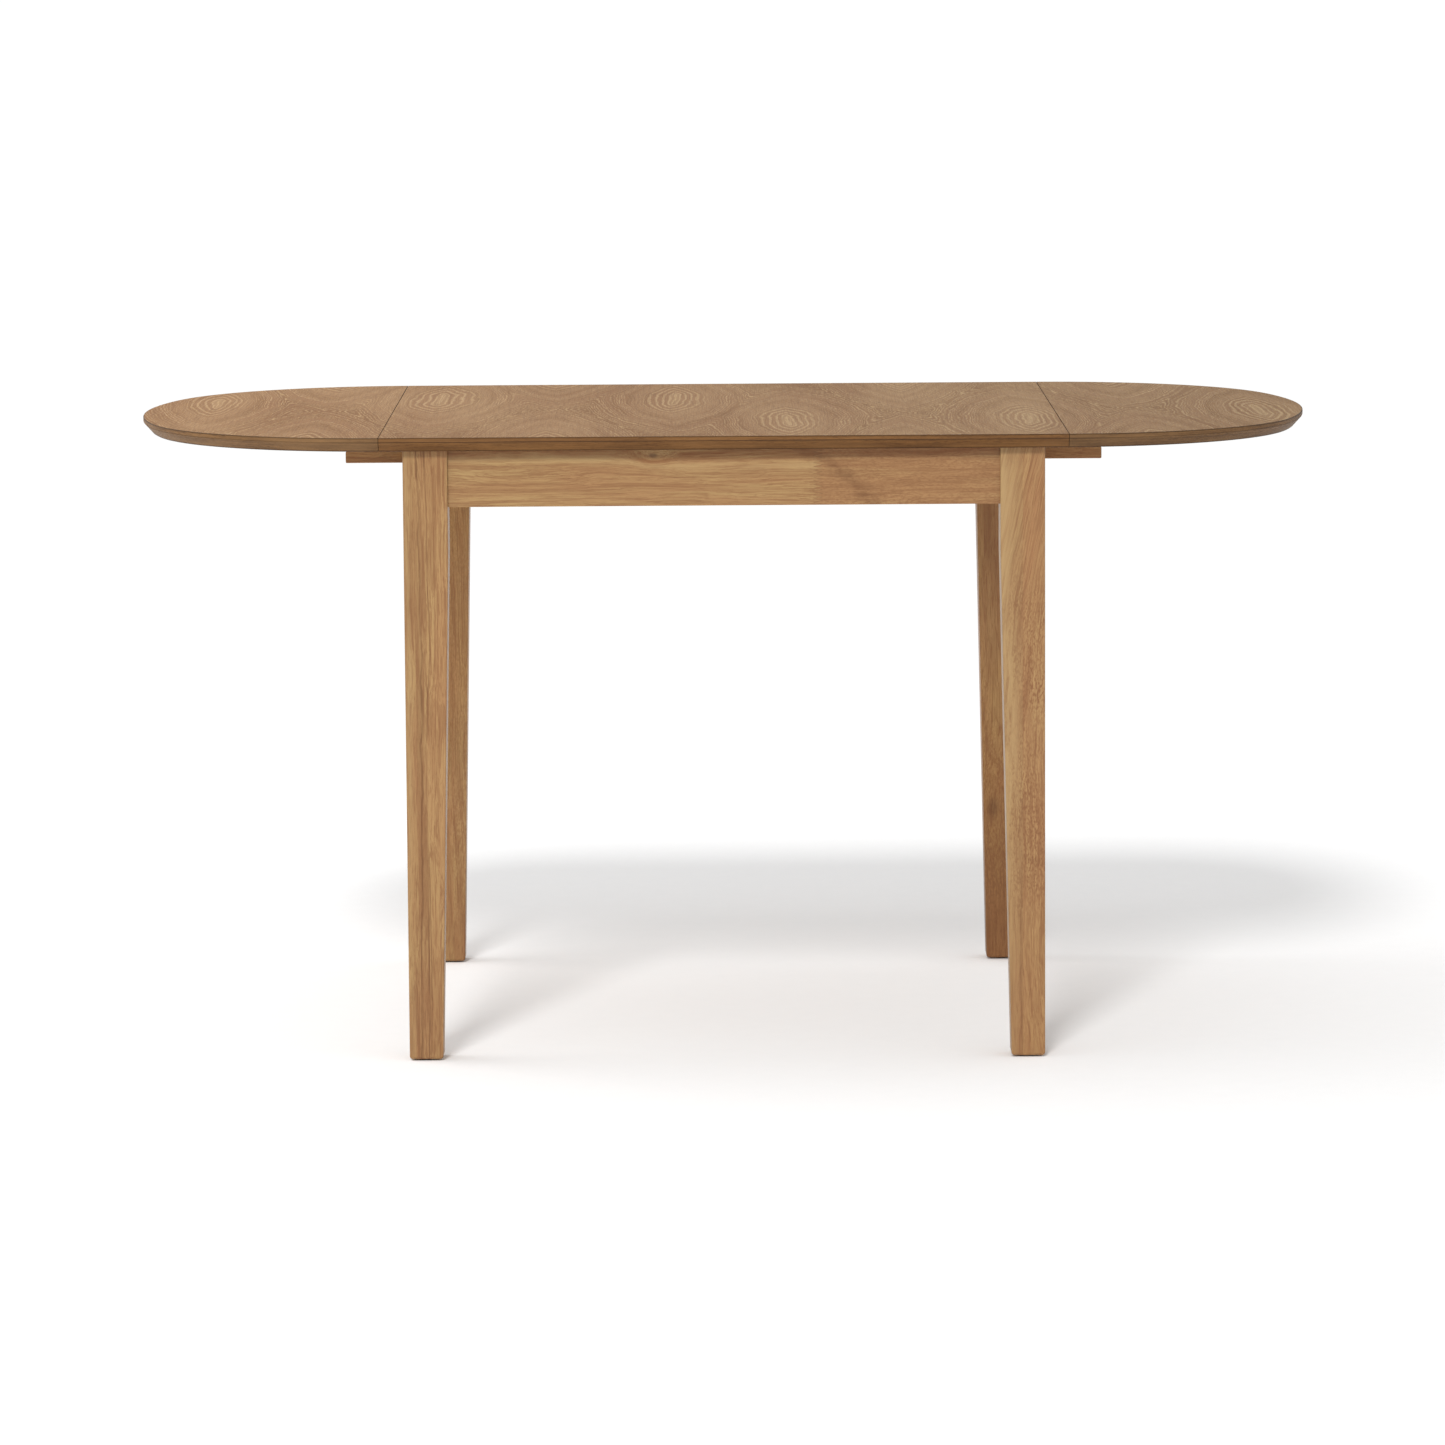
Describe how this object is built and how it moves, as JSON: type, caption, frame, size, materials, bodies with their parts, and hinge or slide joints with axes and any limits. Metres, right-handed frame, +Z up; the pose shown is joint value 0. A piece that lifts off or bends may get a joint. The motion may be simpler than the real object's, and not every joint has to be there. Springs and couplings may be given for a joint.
{
  "type": "drop leaf table",
  "caption": "Dining table with a fixed centre board, two half-oval drop leaves on seam hinges, slide-out support bars, plain aprons and tapered square legs.",
  "frame": {"origin": "on the floor, under the centre of the table, with both leaves raised", "axes": "+X along the table's length towards the right leaf, +Y to the rear, +Z up"},
  "size_m": [1.404, 0.78, 0.735],
  "materials": {
    "top_veneer": "satin lacquered veneer with contour grain",
    "frame_wood": "satin lacquered solid hardwood",
    "bar_wood": "waxed solid hardwood",
    "block_wood": "bare sanded hardwood",
    "hinge_steel": "zinc-plated pressed steel",
    "screw_steel": "yellow-passivated steel",
    "glide_plastic": "matt moulded nylon"
  },
  "bodies": {
    "table_frame": {"centre_top": "top_veneer", "front_left_leg": "frame_wood", "front_right_leg": "frame_wood", "rear_left_leg": "frame_wood", "rear_right_leg": "frame_wood", "front_apron": "frame_wood", "rear_apron": "frame_wood", "left_apron": "frame_wood", "right_apron": "frame_wood", "left_cross_rail": "frame_wood", "right_cross_rail": "frame_wood", "front_left_corner_block": "block_wood", "front_right_corner_block": "block_wood", "rear_left_corner_block": "block_wood", "rear_right_corner_block": "block_wood", "left_hinge_fixed_flaps": "hinge_steel", "left_hinge_pins": "screw_steel", "right_hinge_fixed_flaps": "hinge_steel", "right_hinge_pins": "screw_steel", "left_hinge_fixed_screws": "screw_steel", "right_hinge_fixed_screws": "screw_steel", "hanger_bolts": "screw_steel", "hanger_washers": "screw_steel", "hanger_nuts": "screw_steel", "corner_block_screws": "screw_steel", "top_brackets": "hinge_steel", "top_bracket_screws": "screw_steel", "cross_rail_screws": "screw_steel", "foot_glides": "glide_plastic"},
    "left_leaf": {"left_leaf": "top_veneer", "left_hinge_leaf_flaps": "hinge_steel", "left_hinge_leaf_screws": "screw_steel"},
    "right_leaf": {"right_leaf": "top_veneer", "right_hinge_leaf_flaps": "hinge_steel", "right_hinge_leaf_screws": "screw_steel"},
    "left_front_bar": {"left_front_bar": "bar_wood", "left_front_stop_dowel": "block_wood"},
    "left_rear_bar": {"left_rear_bar": "bar_wood", "left_rear_stop_dowel": "block_wood"},
    "right_front_bar": {"right_front_bar": "bar_wood", "right_front_stop_dowel": "block_wood"},
    "right_rear_bar": {"right_rear_bar": "bar_wood", "right_rear_stop_dowel": "block_wood"}
  },
  "joints": [
    {"name": "left_leaf_hinge", "type": "hinge", "parent": "table_frame", "child": "left_leaf", "pos_m": [-0.4, 0, 0.7145], "axis": [0, -1, 0], "range_deg": [0, 90]},
    {"name": "left_front_bar_slide", "type": "slide", "parent": "table_frame", "child": "left_front_bar", "axis": [-1, 0, 0], "range_m": [-0.094, 0]},
    {"name": "left_rear_bar_slide", "type": "slide", "parent": "table_frame", "child": "left_rear_bar", "axis": [-1, 0, 0], "range_m": [-0.094, 0]},
    {"name": "right_leaf_hinge", "type": "hinge", "parent": "table_frame", "child": "right_leaf", "pos_m": [0.4, 0, 0.7145], "axis": [0, 1, 0], "range_deg": [0, 90]},
    {"name": "right_front_bar_slide", "type": "slide", "parent": "table_frame", "child": "right_front_bar", "axis": [1, 0, 0], "range_m": [-0.094, 0]},
    {"name": "right_rear_bar_slide", "type": "slide", "parent": "table_frame", "child": "right_rear_bar", "axis": [1, 0, 0], "range_m": [-0.094, 0]}
  ],
  "couplings": [
    {"joint": "left_front_bar_slide", "follows": "left_leaf_hinge", "m_per_rad": -0.0598},
    {"joint": "left_rear_bar_slide", "follows": "left_leaf_hinge", "m_per_rad": -0.0598},
    {"joint": "right_front_bar_slide", "follows": "right_leaf_hinge", "m_per_rad": -0.0598},
    {"joint": "right_rear_bar_slide", "follows": "right_leaf_hinge", "m_per_rad": -0.0598}
  ]
}
